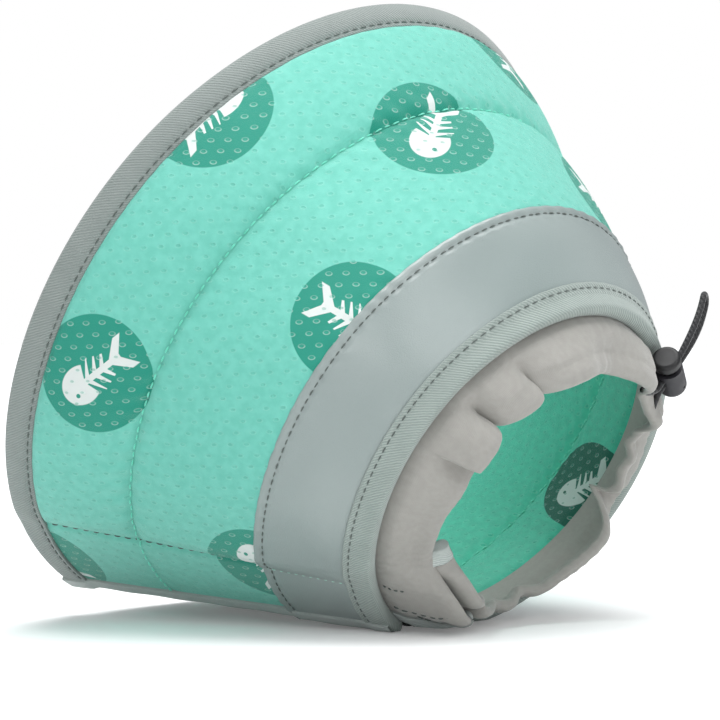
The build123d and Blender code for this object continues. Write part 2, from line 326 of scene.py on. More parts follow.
def printed_mesh(name, mint, spot, white, eyelet):
    """Knitted polyester mesh, printed. Its eyelets lie in staggered rows, and its spots carry a fish."""
    made, tree = new_material(name)
    cloth = node(tree, "UVMap", uv_map="cloth")
    cloth = node(tree, "Mapping", {"Vector": cloth, "Rotation": (0, 0, EYELET_TURN)})
    x, y = (node(tree, "SeparateXYZ", (cloth,), out=way) for way in (0, 1))
    row = node(tree, "Math", (y, EYELET_PITCH[1]), operation="DIVIDE")
    row = node(tree, "Math", (row,), operation="FLOOR")
    odd = node(tree, "Math", (row, 2.0), operation="FLOORED_MODULO")
    staggered = node(tree, "Math", (odd, EYELET_PITCH[0] / 2, x), operation="MULTIPLY_ADD")
    across = node(tree, "Math", (staggered, EYELET_PITCH[0]), operation="FLOORED_MODULO")
    upward = node(tree, "Math", (y, EYELET_PITCH[1]), operation="FLOORED_MODULO")
    middle = (EYELET_PITCH[0] / 2, EYELET_PITCH[1] / 2)
    hole = oval(tree, across, upward, middle, EYELET_HALF)
    open_hole = between(tree, (hole, 0.8, 0.45))
    lip = between(tree, (hole, 0.6, 0.9), (hole, 1.3, 0.95))
    # Painted highlight: the lower side of each lip is made lighter, as if lit from above.
    lit = (upward, middle[1] - 0.5 * EYELET_HALF[1], middle[1] + 0.6 * EYELET_HALF[1], 1.0, 0.45)
    lit = node(tree, "MapRange", lit, interpolation_type="SMOOTHSTEP")
    glint = node(tree, "Math", (lip, lit), operation="MULTIPLY")
    spot_map = node(tree, "UVMap", uv_map="print")
    fish_x, fish_y = (node(tree, "SeparateXYZ", (spot_map,), out=way) for way in (0, 1))
    disc = between(tree, (oval(tree, fish_x, fish_y, (0, 0), (1, 1)), SPOT + 0.15, SPOT - 0.15))
    fish = [node(tree, "Math", (way, FISH_SHRINK), operation="MULTIPLY") for way in (fish_x, fish_y)]
    bones = fish_bones(tree, *fish)
    mottle = node(tree, "TexNoise", {"Vector": cloth, "Scale": 1 / DYE_CLOUD, "Detail": 3.0})
    fuzz = node(tree, "TexNoise", {"Vector": cloth, "Scale": 1 / FUZZ, "Detail": 3.0})
    knit = {"Vector": cloth, "Scale": WAVE / KNIT_ROW, "Distortion": 1.6, "Detail": 2.0, "Detail Scale": 2.0}
    knit = node(tree, "TexWave", knit, out=1, bands_direction="Y")
    # Painted shade darkens each hole on the mint; on the spots the hole shows its paler bare yarn.
    hole_shade_and_yarn = node(tree, "MapRange", (disc, 0.0, 1.0, 0.17, 0.45), interpolation_type="SMOOTHSTEP")
    on_lip = node(tree, "MapRange", (disc, 0.0, 1.0, 0.10, 0.40), interpolation_type="SMOOTHSTEP")
    dyes = [(between(tree, (mottle, 0.3, 0.7)), 0.25, eyelet), (disc, 1.0, spot), (bones, disc, white)]
    holes = [(open_hole, hole_shade_and_yarn, eyelet), (glint, on_lip, hue("E6FBF4")), (knit, 0.10, eyelet)]
    printed = coated(tree, mint, *dyes, *holes)
    relief = raised(tree, (knit, 0.10), (fuzz, 0.16), (open_hole, -0.15), (lip, 0.06))
    finish(tree, Base_Color=printed, Roughness=0.62, Normal=relief, Sheen_Weight=0.25,
           Sheen_Roughness=0.4, Specular_IOR_Level=0.35)
    return made


# The knit gives a soft, faintly ribbed and fuzzy face. Each eyelet is a small hole with painted shade in it
# on the mint and its paler bare yarn on the darker spots. Its rolled lip has a painted highlight on its lower
# side, as if lit from above, and more so on the darker spots.
outer_mesh = printed_mesh("printed_mesh_outer", hue("7CD6C5"), hue("1E9782"), hue("EDF1EF"), hue("3FAE97"))

# Every strip that goes all round is laid in lengths. The flap rides the front shell, the last length rides
# the rear one, and the length over the fold between the two is baked where it lies.
LAP_END = 391.0
BEND_START, BEND_END = 0.2, 8.5
FLAP = ("flap", 0.0, CREASE, "front_shell")
MAIN = ("main", CREASE, 300.0, None)
REAR = ("rear", 300.0, 360.0, "rear_shell")
LAP = ("underlap", 360.0, LAP_END, "rear_shell")
SHELL = [FLAP, MAIN, REAR]


def front_of_fold():
    """Two points in front of the fold."""
    mid_wall = 60.0
    on_fold = place(mid_wall, 0.0, FOLD)
    onward = place(mid_wall, 0.0, FOLD - 1) - place(mid_wall, 0.0, FOLD + 1)
    onward /= np.linalg.norm(onward)
    return (on_fold + onward * BEND_START) / 1000, (on_fold + onward * BEND_END) / 1000


fold_start, fold_end = front_of_fold()


def carry(piece, body):
    """Fixes a piece to its shell, or bakes it where it lies."""
    if body is None:
        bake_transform(piece)
    else:
        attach(piece, body)


def turned(x, y, turn):
    """Two lengths along axes that are turned."""
    return x * np.cos(turn) + y * np.sin(turn), y * np.cos(turn) - x * np.sin(turn)


def add_print(mesh, spots):
    """Maps the print on each face, in the frame of the spot nearest to it. The spots are a little oval."""
    cloth = np.zeros(len(mesh.loops) * 2, np.float32)
    mesh.uv_layers["cloth"].data.foreach_get("uv", cloth)
    cloth = cloth.reshape(-1, 4, 2)
    middles = np.array([cloth_map(along, angle) for along, angle, _ in spots])
    nearest = np.linalg.norm(cloth.mean(axis=1)[:, None] - middles[None], axis=-1).argmin(axis=1)
    offset = cloth - middles[nearest][:, None]
    slant_way = np.radians([spot[1] * sin(SLOPE) for spot in spots])[nearest][:, None]
    upward, onward = turned(offset[..., 0], offset[..., 1], slant_way)
    turn = np.radians([spot[2] for spot in spots])[nearest][:, None]
    printed = np.stack(turned(upward * 1.08, onward * 0.95, turn), axis=-1)
    mesh.uv_layers.new(name="print").data.foreach_set("uv", printed.astype(np.float32).ravel())


def laid(name, section, spans, material, replaced=None, wrap=False, spots=None, density=0.6):
    """Lays a strip of the given section round the wall, one piece for each span of angles."""
    made = {}
    for part, start, end, body in spans:
        angles = np.linspace(start, end, int((end - start) / density) + 2)[None, :]
        along, outward, across, around = np.broadcast_arrays(*section(angles))
        tape = np.stack([arc_length(around, along.mean()), across], axis=-1)
        maps = {"cloth": cloth_map(along, around), "tape": tape}
        piece = surface(f"{name}_{part}", place(along, outward, around), maps, material, wrap)
        if spots is not None:
            add_print(piece.data, spots)
        carry(piece, body)
        if replaced and part in replaced:
            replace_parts(piece, *replaced[part])
        made[part] = piece
    return made


# Each spot's place along and round the wall, and how its fish is turned.
SPOTS = [
    (90, 61, 122), (106, 110, 262), (67, 140, 48), (34, 98, -8), (33, 25, 258), (111, 10, 240),
    (104, 176, 200), (50, 185, 280), (12, 148, 45), (60, 232, 140), (100, 258, 60), (40, 286, 200),
    (92, 312, 100), (50, 340, 20), (78, 378, 80), (5, 58, 0),
]
rows = np.concatenate([np.arange(SKIN_MARGIN, SLANT - SKIN_MARGIN, 1.0), [SLANT - SKIN_MARGIN]])[:, None]


def outer_section(angle):
    """Outer skin from its neck edge to its mouth edge, pressed down under the band and the mouth tape."""
    under_band = step(-rows, -BAND_EDGE + 0.5, -BAND_EDGE + 2.5) * step(past_crease(rows, angle), 0, 8)
    under_tape = step(rows, SLANT - 9.2, SLANT - 6.8)
    level = (outer_level(rows, angle) - 1.3 * under_band) * (1 - under_tape) + COVER * under_tape
    return rows, level, rows, angle


covered = ["front_outer_panel", "rear_outer_panel", "front_foam", "rear_foam"]
skin_nodes = {"flap": ["closure_flap"], "main": covered}
outer = laid("outer_skin", outer_section, SHELL, outer_mesh, skin_nodes, spots=SPOTS)

# Lining. The same printed mesh, with its spots and white darker and its mint deeper as painted shade inside
# the cone, sewn in with its own spots. It bulges inward between the quilting seam, a second seam behind the
# neck band, and the bindings.
BAND_SEAM = 31.4
LINING_SPOTS = [
    (13, 266, 240), (80, 296, 30), (66, 240, 80), (98, 270, 10), (46, 170, 60), (90, 206, 200),
    (52, 206, 140), (104, 90, 40), (40, 80, 100), (78, 46, 0), (16, 124, 90), (108, 330, 0),
    (40, 334, 160), (74, 352, 80), (84, 138, 120),
]


def inner_level(along, angle):
    """The lining's height off the wall's middle, inward."""
    bulge = 1.6 * pad(along, BINDING + 1.5, BAND_SEAM) + 2.6 * pad(along, BAND_SEAM, QUILT)
    bulge = bulge + 2.4 * pad(along, QUILT, SLANT - BINDING + 2)
    at_seam = near(along, QUILT, 1.6) + near(along, BAND_SEAM, 1.4)
    pucker = 0.30 * ripple(angle, along, 8.3) * (near(along, QUILT, 6) + near(along, BAND_SEAM, 5))
    full = step(arc_length(angle - CREASE, along), 0.0, 11.0) ** 0.6 * step(along, BINDING + 0.5, BINDING + 4)
    return -COVER - full * (bulge + 0.8 * (1 - at_seam) + pucker)


def lining_section(angle):
    """Lining from the neck to the mouth."""
    return rows, inner_level(rows, angle), rows, angle


# Painted shade: the lining takes the outer mesh's colours, darker and deeper.
shaded_lining_mesh = printed_mesh("printed_mesh_lining_shaded", hue("59DABB"), hue("0F6655"), hue("D4E2DD"), hue("2F9C84"))
lining_nodes = {"main": ["front_lining", "rear_lining"]}
laid("lining", lining_section, SHELL, shaded_lining_mesh, lining_nodes, spots=LINING_SPOTS)

# Underlap. A thin tongue of two plies of the lining's mesh without foam, sewn on past the wall's end, that
# goes inside the closing flap.


def underlap_section(angle):
    """Both faces of the tongue, closed round."""
    out = np.concatenate([rows, rows[::-1]])
    side = np.concatenate([np.full_like(rows, COVER), np.full_like(rows, -COVER)])
    return out, side, out, angle


lap_nodes = {"underlap": ["underlap"]}
laid("underlap_skin", underlap_section, [LAP], shaded_lining_mesh, lap_nodes, True, SPOTS)

# Neck band. Smooth satin leatherette laid over the lower foam pad, its upper edge turned under and sewn
# down just inside, its lower edge caught under the neck binding.
BAND = 0.76
BAND_STITCH = 2.6
# Rows up the turned edge, and how far each has dropped.
TURNED_EDGE = [(BAND_EDGE - 0.3, 0.0), (BAND_EDGE, 0.25), (BAND_EDGE + 0.2, 0.75), (BAND_EDGE + 0.2, 1.6)]


def band_level(along, angle):
    """Face of the leatherette band, smoother than the mesh under it."""
    buckle = 0.4 * np.sin(angle / 7.1 + 0.5 * np.sin(along / 6))
    buckle = buckle * np.sin(pi * np.clip((along - 6) / 26, 0, 1))
    return COVER + BAND + 0.2 + stuffed(along, angle) * (neck_pad(along, angle) + 0.6 + buckle)


band_flat = np.arange(4.0, BAND_EDGE - 0.4, 0.8)
band_rows = np.concatenate([band_flat, [along for along, _ in TURNED_EDGE]])[:, None]
band_drop = np.concatenate([0 * band_flat, [drop for _, drop in TURNED_EDGE]])[:, None]


def band_section(angle):
    """Band from under the neck binding to its rolled edge, drawn in along its stitches."""
    groove = 0.38 * near(band_rows, BAND_EDGE - BAND_STITCH, 0.7)
    swell = 0.35 * near(band_rows, BAND_EDGE - 1.2, 0.8)
    puckers = 0.16 * ripple(angle, band_rows, 5.5) * near(band_rows, BAND_EDGE - 1.5, 3)
    return band_rows, band_level(band_rows, angle) - groove + swell + puckers - band_drop, band_rows, angle


# Satin leatherette is coated cloth with an embossed pore grain. Its thin clear coat gives one broad soft
# highlight. The real pores are about 0.2 mm and are drawn three times as coarse, to show at all.
PORE = 0.6667
LEATHER_GRAIN = 0.4167
STREAK = 33.33
satin, tree = new_material("satin_leatherette")
cloth = node(tree, "UVMap", uv_map="cloth")
sheen_streaks = node(tree, "TexNoise", {"Vector": cloth, "Scale": 1 / STREAK, "Detail": 1.0})
grain = node(tree, "TexNoise", {"Vector": cloth, "Scale": 1 / LEATHER_GRAIN, "Detail": 3.0})
pores = node(tree, "TexVoronoi", {"Vector": cloth, "Scale": 1 / PORE}, feature="DISTANCE_TO_EDGE")
# The lighter streaks in its colour are a painted highlight, from the same noise that bumps its face.
colour = coated(tree, hue("879391"), (between(tree, (sheen_streaks, 0.35, 0.65)), 1.0, hue("8F9A98")))
rough = node(tree, "MapRange", (grain, 0.2, 0.8, 0.3, 0.4), interpolation_type="SMOOTHSTEP")
relief = raised(tree, (grain, 0.05), (between(tree, (pores, 0.0, 0.2)), 0.02), (sheen_streaks, 0.5))
finish(tree, Base_Color=colour, Roughness=rough, Normal=relief, Coat_Weight=0.6, Coat_Roughness=0.26)
band_nodes = {"flap": ["flap_neck_band"], "main": ["front_neck_band", "rear_neck_band"]}
laid("neck_band", band_section, SHELL, satin, band_nodes)

# Neck and mouth bindings. Woven polyester twill tape, folded over the raw edges of both cloths and sewn
# through with one row of stitches. It is plump where it lies over the foam.
MOUTH_TAPE = 8.0
MOUTH_STITCH = 6.6
NECK_STITCH = BINDING - 1.6
TAPE_PLY = 0.6
RIB = 0.748
TAPE_YARN = 0.3333
WORN_PATCH = 8.333


def twill(name, ground, rib, lean):
    """Woven twill tape, its ribs turned by its lean in degrees."""
    made, tree = new_material(name)
    tape = node(tree, "UVMap", uv_map="tape")
    tape = node(tree, "Mapping", {"Vector": tape, "Rotation": (0, 0, radians(lean))})
    ribbed = {"Vector": tape, "Scale": WAVE / RIB, "Distortion": 0.7, "Detail": 1.0, "Detail Scale": 3.0}
    ribs = node(tree, "TexWave", ribbed, out=1, bands_direction="X")
    yarn = node(tree, "TexNoise", {"Vector": tape, "Scale": 1 / TAPE_YARN, "Detail": 2.0})
    worn = node(tree, "TexNoise", {"Vector": tape, "Scale": 1 / WORN_PATCH, "Detail": 2.0})
    colour = coated(tree, ground, (ribs, 1.0, rib), (between(tree, (worn, 0.3, 0.7)), 0.3, ground))
    relief = raised(tree, (ribs, 0.11), (yarn, 0.08))
    finish(tree, Base_Color=colour, Roughness=0.72, Normal=relief, Sheen_Weight=0.3,
           Sheen_Roughness=0.5, Specular_IOR_Level=0.25)
    return made


# Twill shows fine diagonal ribs with a dry, matt face, and is a little uneven in colour where it has worn.
neck_twill = twill("twill_tape_neck", hue("87938E"), hue("A0AAA5"), 45)
mouth_twill = twill("twill_tape_mouth", hue("7E8784"), hue("929996"), -45)


def folded_section(edge, face_out, face_in, reach, roll, stitch):
    """Tape folded over an edge at one end of the wall: its outer face, its roll and its inner face."""
    inward = 1 if edge == 0 else -1
    # The first rows tuck the tape's own edge down onto the cloth.
    tucked = [reach + 0.15, reach + 0.1, reach - 0.15]
    walk = np.concatenate([tucked, np.arange(reach - 0.7, 0.5, -0.6)])[:, None]
    lift = -0.35 * near(walk, stitch, 0.5)
    lift[:2, 0] += (-0.6, -0.1)
    bend = np.radians(np.linspace(-90, 90, 11)[1:-1])[:, None]

    def section(angle):
        """Along, outward and across the tape at each angle."""
        there = edge + inward * walk
        out = face_out(there, angle) + lift + 0.06 * ripple(angle, edge, 6.1) * near(walk, reach, 2.5)
        into = face_in(there[::-1], angle) - lift[::-1]
        middle = (out[-1:] + into[:1]) / 2
        half = (out[-1:] - into[:1]) / 2
        rolled = edge + inward * (0.5 - (roll + 0.5) * np.cos(bend))
        along = np.concatenate([there, rolled, there[::-1]]) + 0 * angle
        outward = np.concatenate([out, middle - half * np.sin(bend), into])
        return along, outward, np.linspace(0, 2 * reach + 5, len(along))[:, None], angle

    return section


def neck_out(along, angle):
    """Outer face of the neck binding."""
    return band_level(along, angle) + 0.62


def neck_in(along, angle):
    """Inner face of the neck binding."""
    return -COVER - TAPE_PLY + 0 * along * angle


def mouth_swell(along):
    """Plumpness of the mouth binding, 0 at its two edges and 1 in its middle."""
    return np.sin(pi * np.clip((SLANT - along + 2.2) / 10.5, 0, 1))


def mouth_out(along, angle):
    """Outer face of the mouth binding."""
    plump = (1.1 - 0.6 * low(angle)) * mouth_swell(along)
    return COVER + 0.75 + (0.35 + plump) * step(past_crease(along, angle), -3, 9)


def mouth_in(along, angle):
    """Inner face of the mouth binding."""
    return -COVER - TAPE_PLY - 0.5 * mouth_swell(along) + 0 * angle


neck_tape = folded_section(0.0, neck_out, neck_in, BINDING, 0.9, NECK_STITCH)
neck_nodes = {"main": ["front_neck_binding", "rear_neck_binding"]}
laid("neck_binding", neck_tape, [*SHELL, LAP], neck_twill, neck_nodes, True)
mouth_tape = folded_section(SLANT, mouth_out, mouth_in, MOUTH_TAPE, 1.0, MOUTH_STITCH)
mouth_nodes = {"main": ["front_mouth_binding", "rear_mouth_binding"]}
laid("mouth_binding", mouth_tape, [*SHELL, LAP], mouth_twill, mouth_nodes, True)

# Gathered cuff. Thin woven polyester, doubled, sewn inside the neck edge and turned in. Its hem holds the
# drawcord, which gathers it into soft uneven folds.
HEM_REACH = 14.7
HEM_DEPTH = 7.9
HEM_ROUND = 1.7
CUFF_ROOT = 8.8
CUFF_BEND = 4.2
CUFF_FACE = 2.2
CUFF_HALF = 0.4
CUFF_RADIUS = NECK_RADIUS - 4
LOCK_ANGLE = 196.0
PLEAT, PLEAT_LEAN = 78, 9
# Where the cuff stands out or sinks in: how far, at what angle and how wide.
STANDING = [(4.0, 134, 28), (-4.2, 250, 34), (4.6, 2, 13), (2.6, 342, 22), (-2.4, 118, 5)]
cuff_bent = CUFF_ROOT + CUFF_BEND
cuff_straight = sqrt((HEM_REACH - CUFF_BEND) ** 2 + (HEM_DEPTH - CUFF_FACE) ** 2)
cuff_run = cuff_bent + cuff_straight


def gather(angle, share):
    """Folds of the gathered cloth: how far they stand out, lean round and reach forward."""
    theta = np.radians(np.mod(angle, 360))
    phase = 10 * theta + 1.7 * np.sin(3 * theta + 0.4) + 1.1 * np.sin(5 * theta + 2.0)
    phase = phase + 2.2 * share * np.sin(2 * theta + 0.7)
    size = 1 + 0.5 * np.sin(4 * theta + 1.0) + 0.25 * np.sin(7 * theta)
    quiet = 1 - 0.85 * near_angle(angle, LOCK_ANGLE, 13) - 0.7 * near_angle(angle, 52, 19)
    calm = quiet * (1 - 0.4 * low(angle))
    fold = np.cos(phase) - 0.45 * np.abs(np.sin(phase * 0.5 + 0.6)) ** 0.8 + 0.3
    small = np.sin(23 * theta + 3 * np.sin(2 * theta) + 4.0 * share) * (0.5 + 0.4 * np.sin(3 * theta + 2))
    past_lip = angle - PLEAT - PLEAT_LEAN * share
    lip = step(past_lip, -1.6, 0.8) * near(np.maximum(past_lip - 0.8, 0), 0, 15)
    out = calm * (size * 2.3 * fold + 0.9 * small)
    out = out + sum(far * near_angle(angle, centre, width) for far, centre, width in STANDING)
    out = out + 3.6 * lip - 4.2 * near_angle(angle, PLEAT - 2 + PLEAT_LEAN * share, 9)
    lean = calm * size * 2.6 * np.sin(phase + 0.9) - 3.6 * step(past_lip, -3.5, 0.5) * near(past_lip, 0, 10)
    reach = calm * (1.4 * np.sin(phase + 2.1) * size + 0.8 * np.sin(5 * theta + 1))
    reach = reach - 2.6 * near_angle(angle, 250, 34) + 4.0 * near_angle(angle, 2, 13)
    return out, lean, reach


def creases(angle, pitch, sway, turn):
    """Fine creases that run with the cuff, uneven in pitch."""
    return np.sin(2 * pi * arc_length(angle, 0) / pitch + sway * np.sin(angle / turn))


def cuff_point(share, offset, angle):
    """Point of the cuff: its share of the way to the hem and its offset to the outer side."""
    out, lean, reach = gather(angle, share)
    run = share * cuff_run
    past = np.maximum(run - cuff_bent, 0) / cuff_straight
    weight = step(run, CUFF_ROOT + 0.5, cuff_bent + cuff_straight * 0.8)
    along = CUFF_ROOT - np.minimum(run, cuff_bent) - (HEM_REACH - CUFF_BEND) * past - reach * weight
    outward = -CUFF_FACE - (HEM_DEPTH - CUFF_FACE) * past
    free = np.clip((run - CUFF_ROOT - 0.5) / (cuff_run - CUFF_ROOT), 0, 1)
    billow = 1.5 * np.sin(pi * free) * (1 - low(angle))
    gathers = 0.12 * creases(angle, 5.7, 2.2, 6.1) * near(run, CUFF_ROOT + 3.5, 3.0)
    lift = offset + out * weight + billow + gathers
    facing = atan2(HEM_REACH - CUFF_BEND, HEM_DEPTH - CUFF_FACE)
    tilt = pi / 2 + (facing - pi / 2) * step(run, cuff_bent - 3.0, cuff_bent + 2.0)
    around = angle + np.degrees(lean * weight / CUFF_RADIUS)
    return along - lift * np.cos(tilt), outward + lift * np.sin(tilt), around


forward = np.linspace(0.02, 0.96, 30)
hem_turn = np.radians(np.linspace(80, -80, 9))
half_thick = CUFF_HALF + (HEM_ROUND - CUFF_HALF) * step(forward, 0.82, 0.97)
shares = np.concatenate([forward, 1 + HEM_ROUND * np.cos(hem_turn) / cuff_run, forward[::-1]])[:, None]
offsets = np.concatenate([half_thick, HEM_ROUND * np.sin(hem_turn), -half_thick[::-1]])[:, None]


def cuff_section(angle):
    """Cuff from inside the neck edge, round its hem and back, pinched in along the hem's seam."""
    fine = 0.09 * creases(angle, 6.1, 2, 5.3) * step(shares, 0.35, 0.8) - 0.3 * near(shares, 0.8, 0.02)
    along, outward, around = cuff_point(shares, offsets + fine * np.sign(offsets), angle)
    return along, outward, shares * cuff_run, around


# Plain-woven polyester is thin, with a dry weave and a faint sheen at its folds. Its real yarns are about
# 0.15 mm apart and are drawn 0.42 mm apart, to show at all.
YARN = 0.4189
SLUB = 2.0
WRINKLE = 11.11
cuff_cloth, tree = new_material("cuff_plain_weave")
cloth = node(tree, "UVMap", uv_map="tape")
yarns = {"Vector": cloth, "Scale": WAVE / YARN, "Distortion": 0.3}
warp = node(tree, "TexWave", yarns, out=1, bands_direction="X")
weft = node(tree, "TexWave", yarns, out=1, bands_direction="Y")
weave = node(tree, "Math", (warp, weft), operation="MULTIPLY")
slub = node(tree, "TexNoise", {"Vector": cloth, "Scale": 1 / SLUB, "Detail": 3.0})
wrinkle = node(tree, "TexNoise", {"Vector": cloth, "Scale": 1 / WRINKLE, "Detail": 2.0})
slubbed = between(tree, (slub, 0.3, 0.7))
colour = coated(tree, hue("9B9994"), (slubbed, 1.0, hue("A09E99")), (weave, 0.18, hue("7E7D78")))
relief = raised(tree, (weave, 0.05), (wrinkle, 0.5))
finish(tree, Base_Color=colour, Roughness=0.68, Normal=relief, Sheen_Weight=0.35,
       Sheen_Roughness=0.35, Specular_IOR_Level=0.25)
hidden_cord = ["front_drawcord", "rear_drawcord_short", "rear_drawcord_long"]
cuff_nodes = {"main": ["front_cuff", "rear_cuff", *hidden_cord]}
cuff = laid("cuff", cuff_section, [*SHELL, LAP], cuff_cloth, cuff_nodes, density=0.5)

# Closing edges. A narrow twill tape, folded over the end of each shell and sewn down, that runs on over
# the cuff's two ends and round its hem.
EDGE_REACH = 6.5
edge_twill = twill("twill_tape_edge", hue("A9B3AF"), hue("C6CDCA"), 60)


def folded_over(walk, steps, roll, set_back):
    """Section of tape over an edge: distance onto the wall, and 1 to -1 from its outer to its inner face."""
    turn = np.radians(np.linspace(80, -80, steps))
    distance = np.concatenate([walk, set_back - roll * np.cos(turn), walk[::-1]])[:, None]
    face = np.concatenate([np.ones(len(walk)), np.sin(turn), -np.ones(len(walk))])[:, None]
    return distance, face


def edge_piece(name, points, run, across, body):
    """One length of the edge tape."""
    maps = {"tape": np.stack(np.broadcast_arrays(run, across), axis=-1)}
    piece = surface(name, points, maps, edge_twill, wrap=True)
    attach(piece, body)
    return piece


def wall_tape(name, angle, side, body):
    """Tape over one closing edge, over the bindings and the band. Side is 1 where the wall lies onward."""
    walk = np.concatenate([[EDGE_REACH, EDGE_REACH - 0.2], np.arange(EDGE_REACH - 0.8, 0.4, -0.7)])
    distance, face = folded_over(walk, 9, 1.0, 0.3)
    face[0] = TAPE_PLY
    face[-1] = -TAPE_PLY
    on_wall = np.arange(0.0, SLANT + 1.2, 1.6)[None, :]
    around = angle + side * np.degrees(distance / (NECK_RADIUS + on_wall * sin(SLOPE)))
    under = BAND * step(-on_wall, -BAND_EDGE - 1, -BAND_EDGE + 1)
    under = under + 0.7 * (step(-on_wall, -BINDING - 1, -BINDING + 1) + step(on_wall, SLANT - 9, SLANT - 7))
    thick = (COVER + 0.65 + under * np.where(face > 0, 1, 0.6)) * face
    points = place(on_wall, thick + 0.1 * np.sin(on_wall / 2.9 + 1), around)
    return edge_piece(name, points, on_wall, distance + 10 * face, body)


def cuff_tape(name, angle, side, body):
    """The same tape over the cuff's end, rounded off past the hem."""
    distance, face = folded_over(np.arange(EDGE_REACH, 0.2, -0.6), 7, 0.9, 0.0)
    past_hem = (HEM_ROUND + 0.4) / cuff_run * np.sin(np.linspace(0.25, pi / 2, 6))
    share = np.concatenate([np.linspace(0.3, 1.0, 20), 1 + past_hem])[None, :]
    rounding = np.sqrt(np.clip(1 - (np.maximum(share - 1, 0) * cuff_run / (HEM_ROUND + 0.42)) ** 2, 0, 1))
    thick = (CUFF_HALF + 0.65 + (HEM_ROUND - 0.65) * step(share, 0.82, 0.97)) * rounding
    around = angle + side * np.degrees(distance / CUFF_RADIUS)
    points = place(*cuff_point(share + 0 * distance, face * thick, around))
    return edge_piece(name, points, share * cuff_run, distance + 10 * face, body)


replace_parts(wall_tape("closing_tape", 0.0, 1, "front_shell"), "closing_edge_binding")
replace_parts(wall_tape("underlap_tape", LAP_END, -1, "rear_shell"), "underlap_edge_binding")
cuff_tape("cuff_end_tape", 0.0, 1, "front_shell")
cuff_tape("cuff_lap_tape", LAP_END, -1, "rear_shell")

# Stitching. Lockstitch in twisted polyester thread: dark grey on the tapes and the band, mint along the
# quilting seams, and a zigzag bartack that holds the end of the cuff.
TWIST = 0.698


def thread(name, colour, shaded):
    """Twisted polyester sewing thread. Its real twist of 0.3 mm is drawn 0.7 mm long, to show at all."""
    made, tree = new_material(name)
    run = node(tree, "TexCoord", out="Object")
    twist = {"Vector": run, "Scale": 1000 * 2 * WAVE / TWIST, "Distortion": 2.0}
    twist = node(tree, "TexWave", twist, out=1, bands_direction="DIAGONAL")
    colour = coated(tree, colour, (twist, 0.4, shaded))
    finish(tree, Base_Color=colour, Roughness=0.5, Normal=raised(tree, (twist, 0.08)), Sheen_Weight=0.3)
    return made


# Thread gives a fine broken line, with a small glint on the crown of each stitch.
dark_thread = thread("thread_dark_grey", hue("56615C"), hue("3A4442"))
mint_thread = thread("thread_mint", hue("86F2DA"), hue("3CC4A6"))
pale_thread = thread("thread_pale_mint", hue("A9D6C8"), hue("7FB5A6"))
stations = np.linspace(0, 1, 5)[:, None]
taper = np.array([0.35, 1.0, 1.0, 1.0, 0.35])[:, None, None]


def stitched(name, points_at, thick, material, body):
    """A row of short bowed threads, through the points that points_at gives for a lift off the cloth."""
    centres = points_at(0.0)
    lifts = points_at(1.0) - centres
    lifts[..., 2] += 1e-6
    along = np.gradient(centres, axis=0)
    along /= np.linalg.norm(along, axis=-1, keepdims=True)
    beside = np.cross(along, lifts)
    beside /= np.linalg.norm(beside, axis=-1, keepdims=True)
    above = np.cross(beside, along)
    turns = np.linspace(0, 2 * pi, 7)[:-1]
    rings = [centres + thick * taper * (np.cos(turn) * beside + np.sin(turn) * above) for turn in turns]
    piece = surface(name, np.stack(rings), {}, material, wrap=True)
    carry(piece, body)


def stitch_ring(name, along, level, material, slot, pitch, share=0.72, thick=0.23, lift=0.2, spans=SHELL):
    """A row of stitches round the wall, the same distance up it all the way."""
    for part, start, end, body in spans:
        count = max(int(arc_length(end - start, along) / pitch), 1)
        angle = start + (np.arange(count) + 0.14 + share * stations) * (end - start) / count
        height = level(along, angle) + np.sin(pi * stations) * lift - 0.12
        stitched(f"{name}_{part}", lambda off: place(along, height + off, angle), thick, material, body)


def on_neck_tape(along, angle):
    """Thread level on the neck binding."""
    return neck_out(along, angle) - 0.2


def on_mouth_tape(along, angle):
    """Thread level on the mouth binding."""
    return mouth_out(along, angle) - 0.2


def on_band(along, angle):
    """Thread level on the band."""
    return band_level(along, angle) - 0.2


def on_quilt(along, angle):
    """Thread level in the quilting seam."""
    return outer_level(along, angle) + 0.5


def on_lining(along, angle):
    """Thread level in the lining's seams."""
    return inner_level(along, angle) - 0.2


stitch_ring("stitches_neck", NECK_STITCH, on_neck_tape, dark_thread, "twill_tape", 2.9)
stitch_ring("stitches_mouth", SLANT - MOUTH_STITCH, on_mouth_tape, dark_thread, "twill_tape", 3.3)
stitch_ring("stitches_band", BAND_EDGE - BAND_STITCH, on_band, dark_thread, "band", 2.8)
stitch_ring("stitches_quilt", QUILT, on_quilt, mint_thread, "printed_mesh", 3.2, 0.7, 0.27, 0.3)
stitch_ring("stitches_lining", QUILT, on_lining, mint_thread, "printed_mesh", 3.2, 0.7, 0.25, -0.3)
behind = ("stitches_lining_band", BAND_SEAM, on_lining, mint_thread, "printed_mesh", 2.8, 0.7, 0.25, -0.3)
stitch_ring(*behind, spans=[MAIN, REAR])


def stitch_crease(name, start, end, level, material, pitch, thick):
    """A row of stitches up the flap's crease."""
    count = int((end - start) / pitch)
    along = start + (np.arange(count) + 0.15 + 0.6 * stations) * (end - start) / count
    angle = crease_at(along)
    height = level(along, angle) + np.sin(pi * stations) * 0.22 - 0.1
    stitched(name, lambda off: place(along, height + off, angle), thick, material, "front_shell")


stitch_crease("stitches_crease", BAND_EDGE + 1, SLANT - 9, on_quilt, dark_thread, 3.4, 0.2)
stitch_crease("stitches_crease_band", BINDING + 1, BAND_EDGE, on_band, pale_thread, 2.2, 0.26)


def stitch_cuff(name, from_share, to_share, from_angle, to_angle, count, length=0.62):
    """A row of stitches over the cuff, between two shares of its run and two angles."""
    part = (np.arange(count)[None, :] + 0.15 + length * stations) / count
    run = from_share + (to_share - from_share) * part
    angle = from_angle + (to_angle - from_angle) * part
    height = 0.5 + 0.16 * np.sin(pi * stations)

    def points_at(off):
        """Points of the stitches at a lift off the cuff."""
        return place(*cuff_point(run, height + off, angle))

    stitched(name, points_at, 0.24, dark_thread, "front_shell")


